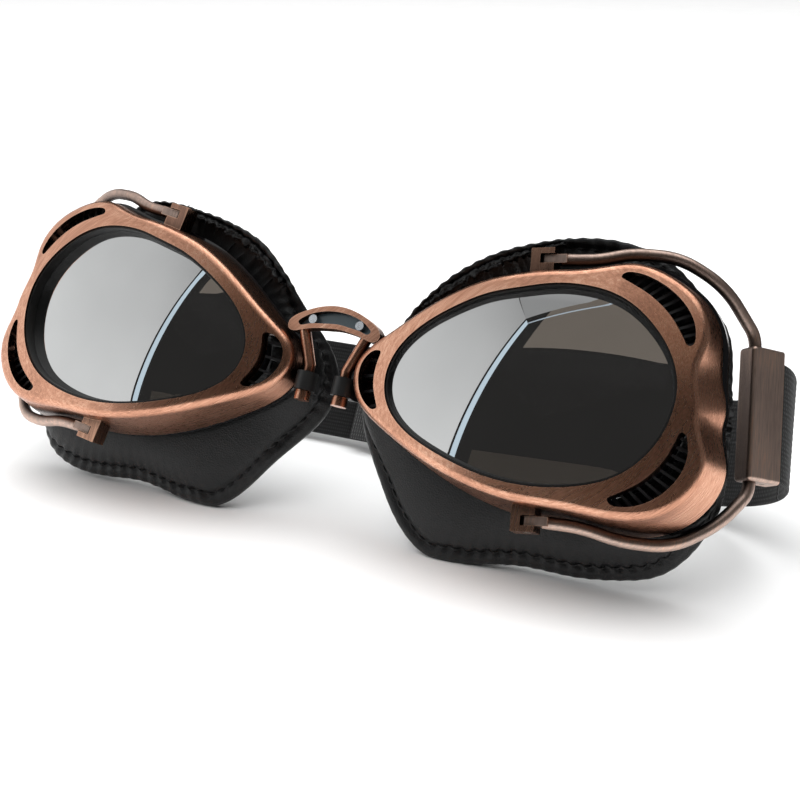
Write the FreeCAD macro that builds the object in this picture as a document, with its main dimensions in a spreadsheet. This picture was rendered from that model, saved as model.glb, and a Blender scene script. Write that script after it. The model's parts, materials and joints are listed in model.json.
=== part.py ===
"""Steampunk goggles: two hinged eyecups, a bridge, two strap bails and an elastic strap.

The goggles are drawn upright, X to the wearer's left, Y back towards the face and Z up in the plane of the
lenses. They are then leaned back on the table, where they stand on their cushions and on the strap.
"""
import FreeCAD, Part
import math
import os
from FreeCAD import Placement, Rotation, Vector

# Driving dimensions, in millimetres and degrees
DIMENSIONS = [
    ("lens_centre_offset", 55.0),
    ("lens_half_width", 34.0),
    ("lens_half_height", 22.5),
    ("cup_cant", 9.0),
    ("dome_radius", 112.0),
    ("rim_thickness", 2.6),
    ("wall_thickness", 1.6),
    ("wall_flare", 4.7),
    ("lobe_reach", 7.6),
    ("edge_round", 2.2),
    ("frame_depth", 15.0),
    ("flare_start", 5.5),
    ("back_pitch", 5.0),
    ("lens_overlap", 1.5),
    ("lens_sink", 1.0),
    ("lens_shift", 3.2),
    ("lens_clearance", 0.3),
    ("lens_thickness", 2.0),
    ("lens_step", 2.0),
    ("gasket_thickness", 0.8),
    ("gasket_lip", 0.6),
    ("gasket_recess", 0.5),
    ("retainer_thickness", 1.2),
    ("retainer_width", 2.2),
    ("seat_gap", 0.05),
    ("body_clearance", 0.15),
    ("body_thickness", 1.4),
    ("body_insert", 2.4),
    ("bead_reach", 0.3),
    ("bead_thickness", 1.5),
    ("base_thickness", 1.0),
    ("rib_thickness", 0.7),
    ("rib_depth", 2.6),
    ("cushion_reach", 20.0),
    ("cushion_depth", 12.0),
    ("cushion_edge", 3.2),
    ("cushion_foam", 11.0),
    ("cushion_crown", 1.6),
    ("cushion_flat", 0.5),
    ("lug_width", 4.4),
    ("lug_heel", 1.0),
    ("lug_cheek", 1.3),
    ("lug_height", 29.6),
    ("lug_depth", 9.3),
    ("eye_thickness", 2.0),
    ("eye_clearance", 0.12),
    ("bail_pin_radius", 0.8),
    ("pin_clearance", 0.05),
    ("wire_radius", 1.4),
    ("bail_reach", 43.0),
    ("bail_sweep", 18.5),
    ("bend_room", 2.6),
    ("bracket_height", 29.8),
    ("bracket_width", 8.4),
    ("bracket_depth", 5.4),
    ("bracket_wall", 0.8),
    ("bracket_bend", 0.9),
    ("bracket_centre", -1.3),
    ("bracket_turn", 50.0),
    ("hinge_offset", 5.1),
    ("hinge_depth", 13.6),
    ("leg_radius", 1.4),
    ("sleeve_radius", 2.6),
    ("sleeve_height", 4.5),
    ("sleeve_drop", 4.1),
    ("nut_radius", 1.9),
    ("nut_height", 2.4),
    ("nut_cap", 0.6),
    ("bridge_half_width", 12.6),
    ("bridge_top", 12.5),
    ("bridge_thickness", 3.0),
    ("insert_thickness", 1.2),
    ("post_radius", 1.1),
    ("post_height", 1.4),
    ("strap_pin_radius", 0.6),
    ("strap_pin_offset", 3.4),
    ("strap_width", 26.8),
    ("strap_thickness", 1.1),
    ("strap_gap", 0.2),
    ("loop_gap", 0.1),
    ("strap_back", 70.0),
    ("strap_turn_radius", 10.0),
    ("strap_lap", 20.0),
    ("slider_length", 14.0),
    ("slider_wall", 1.4),
    ("slider_bar_thickness", 1.2),
    ("lean", 30.0),
    ("overrun", 2.0),
    ("cup_depth", 60.0),
    ("cut_reach", 220.0),
]

doc = FreeCAD.newDocument("goggles")
sheet = doc.addObject("Spreadsheet::Sheet", "sizes")
for row, (alias, value) in enumerate(DIMENSIONS, 1):
    sheet.set("A%d" % row, alias)
    sheet.set("B%d" % row, str(value))
    sheet.setAlias("B%d" % row, alias)
doc.recompute()


def size(alias):
    """The value of a driving dimension."""
    return float(sheet.get(alias))


# Shares of the lens's half width and half height, round the opening from its outer end
OPENING_SHARES = [
    (0.94, 0.0), (0.88, 0.43), (0.70, 0.76), (0.47, 0.97), (0.22, 1.03), (0.0, 1.0), (-0.20, 0.92),
    (-0.40, 0.83), (-0.61, 0.67), (-0.85, 0.42), (-0.99, 0.18), (-1.05, -0.11), (-1.01, -0.36),
    (-0.82, -0.64), (-0.56, -0.81), (-0.20, -0.95), (0.09, -0.98), (0.43, -0.90), (0.67, -0.74),
    (0.86, -0.42),
]

# Angle about the lens centre, then shares of the lobe's reach and of the wall's flare, round the frame's edge
LOBE_SHARES = [
    (0, 0.10, 0.90), (8, 0.0, 1.0), (14, 0.06, 0.94), (22, 0.48, 0.64), (30, 0.80, 0.43), (38, 0.92, 0.32),
    (46, 0.88, 0.26), (54, 0.79, 0.26), (62, 0.63, 0.26), (70, 0.31, 0.26), (80, 0.08, 0.26),
    (95, 0.06, 0.26), (110, 0.09, 0.26), (125, 0.10, 0.26), (140, 0.12, 0.26), (152, 0.13, 0.26),
    (163, 0.17, 0.26), (172, 0.45, 0.26), (180, 0.91, 0.26), (188, 0.80, 0.26), (196, 0.43, 0.26),
    (206, 0.08, 0.26), (218, 0.0, 0.26), (234, 0.0, 0.26), (250, 0.0, 0.26), (268, 0.03, 0.26),
    (284, 0.07, 0.26), (298, 0.15, 0.26), (310, 0.47, 0.34), (322, 0.84, 0.47), (334, 0.94, 0.64),
    (346, 0.70, 0.77),
]

# Each vent slot's first and last angle, the share of the rim at its middle, half its width, and its ribs
VENT_SHARES = {
    "upper": (23.0, 61.0, 0.57, 0.19, 11),
    "lower": (316.0, 352.5, 0.54, 0.21, 11),
    "nose": (176.0, 196.5, 0.60, 0.25, 4),
}
WALL_SHARE = 1.4
VENT_POINTS = 20
VENT_SQUARENESS = 3.2
RIB_SHARE = 0.5

# Angle, then shares of the cushion's reach, of its edge's depth and of its foam's depth
CUSHION_SHARES = [
    (7, 0.0, 0.42, 0.60), (20, 0.0, 0.55, 0.60), (32, 0.0, 0.72, 0.62), (46, 0.035, 0.75, 0.62),
    (60, 0.15, 0.64, 0.60), (72, 0.34, 0.40, 0.56), (85, 0.42, 0.22, 0.54), (103, 0.39, 0.12, 0.54),
    (121, 0.36, 0.06, 0.56), (139, 0.33, 0.05, 0.60), (150, 0.30, 0.10, 0.66), (160, 0.29, 0.31, 0.76),
    (168, 0.26, 0.61, 0.88), (178, 0.18, 0.95, 1.0), (190, 0.28, 1.0, 1.0), (202, 0.49, 0.87, 0.96),
    (213, 0.66, 0.73, 0.92), (225, 0.83, 0.75, 0.92), (238, 0.92, 0.79, 0.92), (250, 0.75, 0.80, 0.92),
    (268, 0.54, 0.81, 0.92), (285, 0.56, 0.81, 0.92), (300, 0.60, 0.83, 0.92), (313, 0.44, 0.87, 0.90),
    (325, 0.16, 0.84, 0.82), (338, 0.0, 0.66, 0.70), (352, 0.0, 0.46, 0.62),
]

# The bail's route from each lug to the bracket: shares of its reach, of the lug's height and of its sweep
UPPER_BAIL_SHARES = [(0.27, 1.0, 0.07), (0.43, 1.06, 0.16), (0.66, 1.05, 0.33), (0.87, 0.87, 0.62)]
LOWER_BAIL_SHARES = [(0.27, 1.02, 0.09), (0.45, 1.10, 0.24), (0.68, 1.11, 0.46), (0.88, 0.91, 0.74)]
BEND_SHARE = 0.45

CUP = Vector(size("lens_centre_offset"), 0, 0)
BACK = Vector(0, 1, 0)
CANT = math.radians(size("cup_cant"))
DOME_CENTRE = CUP + BACK * size("dome_radius")
LENS_CENTRE = DOME_CENTRE + BACK * size("lens_sink") - Vector(size("lens_shift"), 0, 0)
OUTWARD = Vector(math.cos(CANT), 0, math.sin(CANT))
UPWARD = Vector(-math.sin(CANT), 0, math.cos(CANT))
RIM_BASE = size("lens_overlap") + size("lens_clearance") + size("wall_thickness")
LENS_FRONT = size("dome_radius") - size("rim_thickness") - size("gasket_thickness") - size("seat_gap")
LENS_BACK = LENS_FRONT - size("lens_thickness")
SAMPLES = 360


def bind(feature, **expressions):
    """Tie a feature's sizes to the sheet."""
    for name, text in expressions.items():
        feature.setExpression(name, text)
    return feature


def add(kind, name, **expressions):
    """A new object of the document, tied to the sheet."""
    return bind(doc.addObject(kind, name), **expressions)


def cut(name, base, tool):
    feature = doc.addObject("Part::Cut", name)
    feature.Base = base
    feature.Tool = tool
    return feature


def common(name, base, tool):
    feature = doc.addObject("Part::Common", name)
    feature.Base = base
    feature.Tool = tool
    return feature


def fuse(name, pieces):
    feature = doc.addObject("Part::MultiFuse", name)
    feature.Shapes = pieces
    return feature


def group(name, pieces):
    """Separate solids under one name."""
    feature = doc.addObject("Part::Compound", name)
    feature.Links = pieces
    return feature


# Outlines of the eyecup, in the plane of the lens
def closed_curve(points):
    curve = Part.BSplineCurve()
    curve.interpolate(Points=points, PeriodicFlag=True)
    return curve


def spread_points(points, distances):
    """The points moved outwards, each by its distance, along the normals of the closed curve through them."""
    curve = closed_curve(points)
    moved = []
    for point, distance in zip(points, distances):
        tangent = curve.tangent(curve.parameter(point))[0]
        moved.append(point + Vector(tangent.z, 0, -tangent.x) * distance)
    return moved


def offset_points(points, distance):
    return spread_points(points, [distance] * len(points))


def radius_table(points):
    """Angles and radii about the lens centre, all round the closed curve through the points."""
    curve = closed_curve(points)
    first, last = curve.FirstParameter, curve.LastParameter
    table = []
    for index in range(SAMPLES):
        spoke = curve.value(first + (last - first) * index / SAMPLES) - CUP
        table.append((math.degrees(math.atan2(spoke.z, spoke.x)) % 360, math.hypot(spoke.x, spoke.z)))
    return sorted(table)


def radius_at(table, angle):
    """The radius at an angle, between the two nearest rows of a table."""
    angle %= 360
    before = max((row for row in table if row[0] <= angle), default=(table[-1][0] - 360, table[-1][1]))
    after = min((row for row in table if row[0] > angle), default=(table[0][0] + 360, table[0][1]))
    share = (angle - before[0]) / (after[0] - before[0])
    return before[1] + share * (after[1] - before[1])


def spoke_point(angle, radius):
    turn = math.radians(angle)
    return CUP + Vector(math.cos(turn) * radius, 0, math.sin(turn) * radius)


OPENING = [
    CUP + Vector(x_share * size("lens_half_width"), 0, z_share * size("lens_half_height"))
    for x_share, z_share in OPENING_SHARES
]
OPENING_RADII = radius_table(OPENING)
FRAME = [
    spoke_point(angle, radius_at(OPENING_RADII, angle) + RIM_BASE + share * size("lobe_reach"))
    for angle, share, _ in LOBE_SHARES
]
FRAME_RADII = radius_table(FRAME)


def wall_points(offset, depth):
    """The outside of the frame's wall at a depth, moved outwards by an offset."""
    start = size("flare_start")
    flare = size("wall_flare") * (depth - start) / (size("frame_depth") - start)
    return spread_points(FRAME, [offset + flare * flare_share for _, _, flare_share in LOBE_SHARES])


FOOT_RADII = radius_table(wall_points(0, size("frame_depth")))


def rim_point(angle, share):
    """A point on the rim, from the opening at share 0 to the outer edge at share 1."""
    inner = radius_at(OPENING_RADII, angle)
    return spoke_point(angle, inner + share * (radius_at(FRAME_RADII, angle) - inner))


def outline(name, points):
    feature = doc.addObject("Part::Feature", name)
    feature.Shape = Part.Wire([closed_curve(points).toShape()])
    return feature


def extrude(name, profile):
    """A prism through the whole depth of the cup."""
    profile.Placement = Placement(BACK * -size("overrun"), Rotation())
    prism = add("Part::Extrusion", name, LengthFwd="sizes.cup_depth")
    prism.Base = profile
    prism.DirMode = "Custom"
    prism.Dir = BACK
    prism.Solid = True
    return prism


def prism(name, points):
    return extrude(name, outline(name + "_outline", points))


def back_depth(height):
    """The depth of the frame's back plane at a height."""
    return size("frame_depth") - math.tan(math.radians(size("back_pitch"))) * height


def slab(name, near, far):
    """All that lies between two distances behind the frame's back plane."""
    tilt = Rotation(Vector(1, 0, 0), size("back_pitch"))
    half = size("cut_reach") / 2
    box = add("Part::Box", name, Length="sizes.cut_reach", Height="sizes.cut_reach")
    box.Width = far - near
    corner = CUP + BACK * size("frame_depth") + tilt.multVec(Vector(-half, near, -half))
    box.Placement = Placement(corner, tilt)
    return box


def ball(name, radius, centre=DOME_CENTRE):
    sphere = doc.addObject("Part::Sphere", name)
    sphere.Radius = radius
    sphere.Placement = Placement(centre, Rotation())
    return sphere


def layer(name, outer_radius, inner_radius, centre=DOME_CENTRE):
    """A curved layer between two spheres."""
    return cut(name, ball(name + "_outer", outer_radius, centre), ball(name + "_inner", inner_radius, centre))


def flared(name, offset):
    """The frame's wall as a solid, widening towards its back."""
    near = -size("overrun")
    far = size("frame_depth") * WALL_SHARE
    loft = doc.addObject("Part::Loft", name)
    sections = []
    for end, depth in (("front", near), ("rear", far)):
        section = outline("%s_%s" % (name, end), wall_points(offset, depth))
        section.Placement = Placement(BACK * depth, Rotation())
        sections.append(section)
    loft.Sections = sections
    loft.Solid = True
    loft.Ruled = True
    return loft


def squared(value):
    """A sine or cosine drawn out towards a rounded rectangle."""
    return math.copysign(abs(value) ** (2 / VENT_SQUARENESS), value)


def vent_points(vent):
    """A rounded slot that follows the rim."""
    first, last, middle, half, _ = VENT_SHARES[vent]
    points = []
    for index in range(VENT_POINTS):
        turn = 2 * math.pi * index / VENT_POINTS
        along = squared(math.cos(turn))
        across = squared(math.sin(turn))
        points.append(rim_point((first + last) / 2 + along * (last - first) / 2, middle + across * half))
    return points


def edges_on(shape, centre, radius):
    """The numbers of the edges that lie on a sphere."""
    numbers = []
    for number, edge in enumerate(shape.Edges, 1):
        points = edge.discretize(8)
        if all(abs((point - centre).Length - radius) < size("seat_gap") for point in points):
            numbers.append(number)
    return numbers


def rounded(name, base, numbers, radius):
    feature = doc.addObject("Part::Fillet", name)
    feature.Base = base
    feature.Edges = [(number, radius, radius) for number in numbers]
    return feature


def make_front_frame():
    """The copper rim and wall, with its opening and three vents."""
    wall = common("frame_dome", flared("frame_wall", 0), ball("dome", size("dome_radius")))
    behind = slab("behind_frame", 0, size("cut_reach"))
    block = cut("frame_block", wall, behind)
    doc.recompute()
    front_edges = edges_on(block.Shape, DOME_CENTRE, size("dome_radius"))
    block = rounded("frame_rounded", block, front_edges, size("edge_round"))
    hollow = common(
        "frame_hollow",
        flared("frame_inside", -size("wall_thickness")),
        ball("dome_inside", size("dome_radius") - size("rim_thickness")),
    )
    tools = [prism("opening", OPENING)]
    tools += [prism(vent + "_vent", vent_points(vent)) for vent in VENT_SHARES]
    tool = fuse("frame_cuts", [hollow] + tools)
    return cut("front_frame", block, tool)


def make_lens():
    """A dished pane: a flange that the rim holds, and a crown that stands up inside the seal."""
    flange = common(
        "lens_flange",
        prism("lens_edge", offset_points(OPENING, size("lens_overlap"))),
        layer("flange_layer", LENS_FRONT, LENS_BACK, LENS_CENTRE),
    )
    inside = -size("gasket_lip") - size("seat_gap")
    crown_front = LENS_FRONT + size("lens_step")
    crown = common(
        "lens_crown",
        prism("crown_edge", offset_points(OPENING, inside)),
        layer("crown_layer", crown_front, LENS_BACK, LENS_CENTRE),
    )
    dish = common(
        "lens_dish",
        prism("dish_edge", offset_points(OPENING, inside - size("lens_thickness"))),
        ball("dish_ball", crown_front - size("lens_thickness"), LENS_CENTRE),
    )
    return cut("lens", fuse("lens_solid", [flange, crown]), dish)


def ring(name, outer_points, inner_points):
    return cut(name, prism(name + "_outside", outer_points), prism(name + "_inside", inner_points))


def make_gasket():
    """The black seal: a lip between the rim and the lens, and a lining up the wall of the opening."""
    inside = offset_points(OPENING, -size("gasket_lip"))
    under_rim = size("dome_radius") - size("rim_thickness") - size("seat_gap")
    lip = common(
        "gasket_seat",
        ring("gasket_ring", offset_points(OPENING, size("lens_overlap")), inside),
        ball("under_rim", under_rim),
    )
    lining = common(
        "gasket_lining",
        ring("lining_ring", offset_points(OPENING, -size("seat_gap")), inside),
        ball("under_rim_edge", size("dome_radius") - size("gasket_recess")),
    )
    lens_face = ball("lens_face", LENS_FRONT + size("seat_gap"), LENS_CENTRE)
    return cut("lens_gasket", fuse("gasket_solid", [lip, lining]), lens_face)


def make_retainer():
    band = ring(
        "retainer_ring",
        offset_points(OPENING, size("lens_overlap")),
        offset_points(OPENING, size("lens_overlap") - size("retainer_width")),
    )
    front = LENS_BACK - size("seat_gap")
    back = front - size("retainer_thickness")
    return common("lens_retainer", band, layer("retainer_layer", front, back, LENS_CENTRE))


def make_inner_body():
    """The black housing: a tube in the frame and a bead behind it."""
    fit = size("wall_thickness") + size("body_clearance")
    behind_retainer = LENS_BACK - size("retainer_thickness") - 2 * size("seat_gap")
    stack = common(
        "body_stack",
        prism("body_outside", offset_points(FRAME, -fit)),
        slab("body_slab", -size("body_insert"), size("bead_thickness")),
    )
    tube = common("body_tube", stack, ball("behind_retainer", behind_retainer, LENS_CENTRE))
    bead = common(
        "body_bead",
        prism("bead_outside", wall_points(size("bead_reach"), size("frame_depth"))),
        slab("bead_slab", size("seat_gap"), size("bead_thickness")),
    )
    shell = fuse("body_solid", [tube, bead])
    return cut("inner_body", shell, prism("body_bore", offset_points(FRAME, -fit - size("body_thickness"))))


def past_lens(angle):
    """The share of the rim at which the lens ends."""
    rim = radius_at(FRAME_RADII, angle) - radius_at(OPENING_RADII, angle)
    return (size("lens_overlap") + size("lens_clearance")) / rim


def make_vent_grilles():
    """A black comb of ribs behind each slot, on a rail beside the lens."""
    front = size("dome_radius") - size("rim_thickness") - size("seat_gap")
    rib_layer = layer("rib_layer", front, front - size("rib_depth"))
    combs = []
    for vent, (first, last, middle, half, ribs) in VENT_SHARES.items():
        rail_share = middle - half
        tip_share = middle + half
        points = []
        for step in range(ribs + 1):
            angle = first + (last - first) * step / ribs
            points.append(rim_point(angle, past_lens(angle)))
        for step in reversed(range(ribs)):
            angle = first + (last - first) * (step + RIB_SHARE) / ribs
            reach = radius_at(FRAME_RADII, angle)
            turn = math.degrees(size("rib_thickness") / 2 / reach)
            points.append(rim_point(angle + turn, rail_share))
            points.append(rim_point(angle + turn, tip_share))
            points.append(rim_point(angle - turn, tip_share))
            points.append(rim_point(angle - turn, rail_share))
        profile = doc.addObject("Part::Feature", vent + "_comb_outline")
        profile.Shape = Part.makePolygon(points + points[:1])
        combs.append(common(vent + "_comb", extrude(vent + "_comb_prism", profile), rib_layer))
    return group("vent_grilles", combs)


BASE_FRONT = size("bead_thickness") + size("seat_gap")
BASE_BACK = BASE_FRONT + size("base_thickness")
CUSHION_FRONT = BASE_BACK + size("seat_gap")
NOSE_ANGLE = 184.0
NOSE_TIP = CUP.x - radius_at(FOOT_RADII, NOSE_ANGLE) - size("bead_reach")


def box(name, low, high, placement=Placement()):
    """A box between two corners."""
    feature = doc.addObject("Part::Box", name)
    feature.Length = high.x - low.x
    feature.Width = high.y - low.y
    feature.Height = high.z - low.z
    feature.Placement = placement.multiply(Placement(low, Rotation()))
    return feature


def rod(name, radius, start, end):
    """A cylinder between two points, with its radius given in terms of the sheet."""
    feature = add("Part::Cylinder", name, Radius=radius)
    feature.Height = (end - start).Length
    feature.Placement = Placement(start, Rotation(Vector(0, 0, 1), end - start))
    return feature


def make_cushion_base():
    """The plate that the cushion is sewn to, with a tab towards the nose for the sleeve."""
    fit = size("wall_thickness") + size("body_clearance") + size("body_thickness")
    plate = ring(
        "base_ring",
        wall_points(-size("lens_clearance"), size("frame_depth")),
        offset_points(FRAME, -fit),
    )
    half = size("sleeve_radius") / 2
    tab = box(
        "base_tab",
        Vector(size("hinge_offset") - half, 0, -size("sleeve_drop") - size("sleeve_height")),
        Vector(NOSE_TIP + size("sleeve_radius"), size("cup_depth"), -size("sleeve_drop")),
    )
    return common("cushion_base", fuse("base_solid", [plate, tab]), slab("base_slab", BASE_FRONT, BASE_BACK))


def front_of_cushion(height):
    """The depth of the flat front of the cushion at a height."""
    return back_depth(height) + CUSHION_FRONT / math.cos(math.radians(size("back_pitch")))


def cushion_station(angle, reach_share, edge_share, foam_share):
    """The points of the cushion's section at one angle, from its flat front round its edge to the eye."""
    root = radius_at(FOOT_RADII, angle)
    reach = reach_share * size("cushion_reach")
    edge = size("cushion_edge")
    lip = root + reach
    eye = radius_at(OPENING_RADII, angle) + size("lens_clearance")
    rise = math.sin(math.radians(angle))
    front = front_of_cushion(root * rise)
    lip_depth = back_depth(lip * rise) + edge_share * size("cushion_depth")
    eye_depth = front_of_cushion(eye * rise) + foam_share * size("cushion_foam")
    waist_depth = front + (lip_depth - edge / 2 - front) / 3
    crown_depth = (lip_depth + edge / 2 + eye_depth) / 2 + size("cushion_crown")
    section = [
        (root, front),
        (root + reach / 2, waist_depth),
        (lip - edge / 4, lip_depth - edge / 2),
        (lip, lip_depth),
        (lip - edge / 4, lip_depth + edge / 2),
        ((lip + eye) / 2, crown_depth),
        (eye + edge / 2, eye_depth),
        (eye, eye_depth - edge / 2),
        (eye, front_of_cushion(eye * rise)),
    ]
    return [spoke_point(angle, radius) + BACK * depth for radius, depth in section]


# First and last curve of each smooth stretch of the cushion: its skirt, its edge, its crown and its eye side
CUSHION_SKINS = [(0, 2), (2, 4), (4, 7), (7, 8)]


def make_cushion_form():
    """Leather over foam: a skirt that flares to a rolled edge, and a crowned pad behind it."""
    stations = [cushion_station(*station) for station in CUSHION_SHARES]
    wires = [Part.Wire([closed_curve(list(points)).toShape()]) for points in zip(*stations)]
    faces = [Part.makeFace([wires[0], wires[-1]], "Part::FaceMakerBullseye")]
    for first, last in CUSHION_SKINS:
        faces += Part.makeLoft(wires[first:last + 1], False, False).Faces
    shell = Part.Shell(faces)
    shell.sewShape()
    solid = Part.Solid(shell)
    feature = doc.addObject("Part::Feature", "cushion_form")
    feature.Shape = solid if solid.Volume > 0 else solid.reversed()
    return feature


LEAN = Rotation(Vector(1, 0, 0), -size("lean"))


def leaned_points(shape):
    """Points all over a shape, once it is leaned back."""
    points, _ = shape.tessellate(size("seat_gap"))
    return [LEAN.multVec(point) for point in points]


def make_cushion():
    """The cushion, cut flat where it stands on the table."""
    form = make_cushion_form()
    half = size("cut_reach") / 2
    floor = min(point.z for point in leaned_points(form.Shape)) + size("cushion_flat")
    upright = Placement(Vector(), LEAN.inverted())
    ground = box("ground", Vector(-half, -half, floor - half), Vector(half, half, floor), upright)
    return cut("cushion", form, ground), floor


def make_nose_sleeve():
    """The black band round the bridge's leg, which the eyecup swings on."""
    bottom = Vector(size("hinge_offset"), size("hinge_depth"), -size("sleeve_drop") - size("sleeve_height"))
    top = bottom + Vector(0, 0, size("sleeve_height"))
    barrel = rod("sleeve_barrel", "sizes.sleeve_radius", bottom, top)
    rib = box(
        "sleeve_rib",
        bottom - Vector(size("sleeve_radius") / 2, 0, 0),
        Vector(NOSE_TIP - size("lens_clearance"), size("cup_depth"), top.z),
    )
    rib = cut("sleeve_rib_end", rib, slab("behind_base", BASE_FRONT - size("seat_gap"), size("cut_reach")))
    body = fuse("sleeve_body", [barrel, rib])
    over = Vector(0, 0, size("overrun"))
    bore = rod("sleeve_bore", "sizes.leg_radius + sizes.pin_clearance", bottom - over, top + over)
    return cut("nose_sleeve", body, bore)


# The bail and what it turns on, in the cup's own directions
CANTED = Rotation(Vector(0, 1, 0), -size("cup_cant"))
LOWER_LUG_SHARE = -0.985
LUG_MOUTH_SHARE = 0.48
LUG_HEIGHTS = {"top": size("lug_height"), "bottom": size("lug_height") * LOWER_LUG_SHARE}


def cup_point(outward, depth, upward):
    return CUP + OUTWARD * outward + BACK * depth + UPWARD * upward


def make_lug(end):
    """A fork on the frame's wall, with a pocket for the eye of the bail and a mouth for its neck."""
    half = size("lug_width") / 2
    gap = size("eye_thickness") / 2 + size("eye_clearance")
    tall = gap + size("lug_cheek")
    root = tall + size("wall_thickness") + size("lug_cheek")
    toward = 1 if LUG_HEIGHTS[end] > 0 else -1
    low, high = sorted((-toward * root, toward * tall))
    centre = cup_point(0, size("lug_depth"), LUG_HEIGHTS[end])
    place = Placement(centre, CANTED)
    heel = -half - size("lug_heel")
    block = box(end + "_lug_block", Vector(heel, -half, low), Vector(half, half, high), place)
    pocket_radius = "(sizes.lug_width - sizes.lug_cheek) / 2"
    pocket = rod(end + "_lug_pocket", pocket_radius, centre - UPWARD * gap, centre + UPWARD * gap)
    over = half + size("overrun")
    behind_neck = size("wire_radius") + size("eye_clearance")
    mouth = box(
        end + "_lug_mouth",
        Vector(-LUG_MOUTH_SHARE * half, -over, -gap),
        Vector(over, behind_neck, gap),
        place,
    )
    bore = lug_pin(end + "_lug_bore", end, "sizes.bail_pin_radius + sizes.pin_clearance", size("overrun"))
    cuts = fuse(end + "_lug_cuts", [pocket, mouth, bore, flared(end + "_lug_seat", size("seat_gap"))])
    return cut(end + "_lug", block, cuts)


def lug_pin(name, end, radius, over):
    """A pin or its bore, through the fork's outer cheek and half way into the other one."""
    toward = UPWARD if LUG_HEIGHTS[end] > 0 else UPWARD * -1
    centre = cup_point(0, size("lug_depth"), LUG_HEIGHTS[end])
    gap = size("eye_thickness") / 2 + size("eye_clearance")
    inner = centre - toward * (gap + size("lug_cheek") / 2)
    return rod(name, radius, inner, centre + toward * (gap + size("lug_cheek") + over))


def make_bail_pins():
    pins = [lug_pin(end + "_pin", end, "sizes.bail_pin_radius", 0) for end in LUG_HEIGHTS]
    return group("bail_pins", pins)


def bent_path(points, corner_rooms):
    """Straight runs joined by tangent arcs, each as large as its two runs or its room allow."""
    edges = []
    start = points[0]
    for before, corner, after, room in zip(points, points[1:], points[2:], corner_rooms):
        back = (before - corner).normalize()
        ahead = (after - corner).normalize()
        reach = min(BEND_SHARE * min((before - corner).Length, (after - corner).Length), room)
        half = back.getAngle(ahead) / 2
        middle = (back + ahead).normalize()
        centre = corner + middle * (reach / math.cos(half))
        first = corner + back * reach
        last = corner + ahead * reach
        edges.append(Part.LineSegment(start, first).toShape())
        edges.append(Part.Arc(first, centre - middle * (reach * math.tan(half)), last).toShape())
        start = last
    edges.append(Part.LineSegment(start, points[-1]).toShape())
    return Part.Wire(edges)


NECK_SHARE = 0.8


def bail_route():
    """The corners of the wire, from its upper eye round the bracket's bar to its lower eye."""
    neck = NECK_SHARE * size("lug_width")
    bar = size("bracket_height") / 2 + size("bend_room")
    far = (size("bail_reach"), size("lug_depth") + size("bail_sweep"))
    half_routes = []
    for end, shares, along in (("top", UPPER_BAIL_SHARES, bar), ("bottom", LOWER_BAIL_SHARES, -bar)):
        height = LUG_HEIGHTS[end]
        route = [cup_point(neck, size("lug_depth"), height)]
        for reach_share, height_share, sweep_share in shares:
            outward = reach_share * size("bail_reach")
            depth = size("lug_depth") + sweep_share * size("bail_sweep")
            route.append(cup_point(outward, depth, height_share * height))
        route.append(cup_point(*far, size("bracket_centre") + along))
        half_routes.append(route)
    return half_routes[0] + half_routes[1][::-1]


def make_bail():
    """The bent wire, with a flat eye at each end."""
    route = bail_route()
    beside_bar = (len(UPPER_BAIL_SHARES) + 1, len(UPPER_BAIL_SHARES) + 2)
    rooms = [
        size("bend_room") - size("lens_clearance") if index in beside_bar else size("bail_reach")
        for index in range(1, len(route) - 1)
    ]
    path = doc.addObject("Part::Feature", "bail_path")
    path.Shape = bent_path(route, rooms)
    section = add("Part::Circle", "bail_section", Radius="sizes.wire_radius")
    section.Placement = Placement(route[0], Rotation(Vector(0, 0, 1), route[1] - route[0]))
    wire = doc.addObject("Part::Sweep", "bail_wire")
    wire.Sections = [section]
    wire.Spine = (path, ["Edge%d" % number for number in range(1, len(path.Shape.Edges) + 1)])
    wire.Solid = True
    pieces = [wire]
    bores = []
    half = size("eye_thickness") / 2
    eye_radius = "(sizes.lug_width - sizes.lug_cheek) / 2 - sizes.eye_clearance"
    for end, height in LUG_HEIGHTS.items():
        centre = cup_point(0, size("lug_depth"), height)
        eye = UPWARD * half
        pieces.append(rod(end + "_eye", eye_radius, centre - eye, centre + eye))
        through = UPWARD * (half + size("overrun"))
        bore = "sizes.bail_pin_radius + sizes.pin_clearance"
        bores.append(rod(end + "_eye_bore", bore, centre - through, centre + through))
        low = Vector(0, -size("wire_radius"), -half)
        high = Vector(size("lug_width") * NECK_SHARE + size("wire_radius"), size("wire_radius"), half)
        pieces.append(box(end + "_neck", low, high, Placement(centre, CANTED)))
    return cut("bail", fuse("bail_solid", pieces), fuse("bail_bores", bores))


BAR = cup_point(size("bail_reach"), size("lug_depth") + size("bail_sweep"), size("bracket_centre"))
BRACKET_TURN = math.radians(size("bracket_turn"))
ALONG = OUTWARD * math.cos(BRACKET_TURN) + BACK * math.sin(BRACKET_TURN)
INWARD = BACK * math.cos(BRACKET_TURN) - OUTWARD * math.sin(BRACKET_TURN)
BRACKET_PLACE = Placement(BAR, Rotation(ALONG, INWARD, UPWARD, "ZXY"))
BRACKET_HEEL = size("wire_radius") + size("pin_clearance") + size("seat_gap") + size("bracket_wall")
BRACKET_MOUTH = size("bracket_width") - BRACKET_HEEL
STRAP_PIN = BAR + ALONG * size("strap_pin_offset")


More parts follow.
